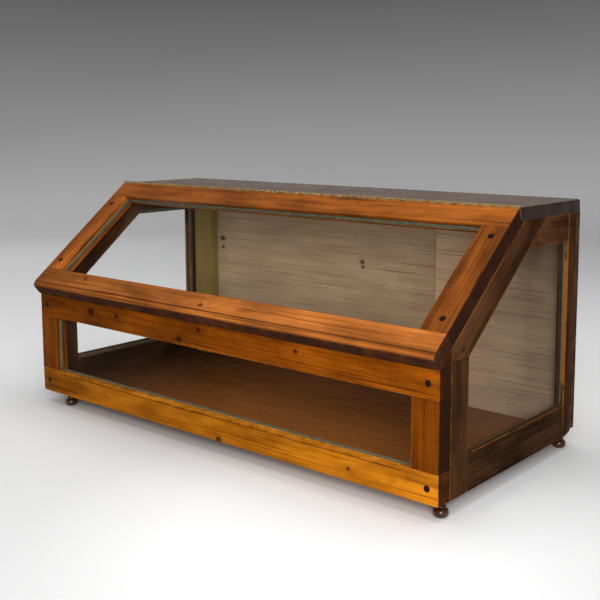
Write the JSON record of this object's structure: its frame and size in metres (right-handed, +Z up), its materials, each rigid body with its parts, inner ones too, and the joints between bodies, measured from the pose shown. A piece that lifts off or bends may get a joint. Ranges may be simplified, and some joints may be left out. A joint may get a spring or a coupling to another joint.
{
  "type": "display case",
  "caption": "Free-standing glazed display case: pegged timber frames, a sloping glazed lid on a continuous hinge along the top board, and turned feet.",
  "frame": {"origin": "middle of the footprint's bounding box, on the surface that the feet stand on", "axes": "+X along the case's width towards its right end as seen from the front, +Y to the back, +Z up"},
  "size_m": [0.9658, 0.4561, 0.4448],
  "materials": {
    "lid_pine": "old honey-orange pine with a worn shellac shine, grain along each member",
    "front_pine": "golden pine, shellacked, with knots and worn arrises",
    "side_pine": "dark stained pine, waxed",
    "top_board": "dark grey-brown board, old wax finish",
    "back_board": "unfinished weathered pine boards",
    "base_board": "dark polished board",
    "green_paint": "old olive-green paint over pine",
    "peg_wood": "dark end grain of a round oak peg",
    "foot_wood": "turned hardwood, polished",
    "putty": "old glazing putty, dark at its edges",
    "brass": "rolled brass, bright on the knuckles",
    "glass": "old window glass, green at the edges"
  },
  "bodies": {
    "case": {"back_board_left": "back_board", "back_board_right": "back_board", "back_post": "green_paint", "base_board": "base_board", "foot_back_left": "foot_wood", "foot_back_right": "foot_wood", "foot_front_left": "foot_wood", "foot_front_right": "foot_wood", "front_bottom_rail": "front_pine", "front_glass": "glass", "front_left_stile": "front_pine", "front_peg_bottom_left": "peg_wood", "front_peg_bottom_right": "peg_wood", "front_peg_top_left": "peg_wood", "front_peg_top_right": "peg_wood", "front_putty": "putty", "front_right_stile": "front_pine", "front_top_rail": "front_pine", "hinge_fixed_leaf": "brass", "hinge_pin": "brass", "left_peg_back": "peg_wood", "left_peg_bend": "peg_wood", "left_peg_slope": "peg_wood", "left_side_back_stile": "side_pine", "left_side_bottom_rail": "side_pine", "left_side_front_stile": "side_pine", "left_side_glass": "glass", "left_side_putty": "putty", "left_side_slope_rail": "side_pine", "left_side_top_rail": "side_pine", "right_peg_back": "peg_wood", "right_peg_bend": "peg_wood", "right_peg_slope": "peg_wood", "right_side_back_stile": "side_pine", "right_side_bottom_rail": "side_pine", "right_side_front_stile": "side_pine", "right_side_glass": "glass", "right_side_putty": "putty", "right_side_slope_rail": "side_pine", "right_side_top_rail": "side_pine", "top_board": "top_board"},
    "lid": {"lid_bottom_rail": "lid_pine", "lid_glass": "glass", "lid_left_stile": "lid_pine", "lid_peg_bottom_left": "peg_wood", "lid_peg_bottom_right": "peg_wood", "lid_peg_top_left": "peg_wood", "lid_peg_top_right": "peg_wood", "lid_putty": "putty", "lid_right_stile": "lid_pine", "lid_top_rail": "lid_pine", "hinge_moving_leaf": "brass"}
  },
  "joints": [
    {"name": "lid_hinge", "type": "hinge", "parent": "case", "child": "lid", "pos_m": [0, 0.00834, 0.44289], "axis": [-1, 0, 0], "range_deg": [0, 218]}
  ]
}
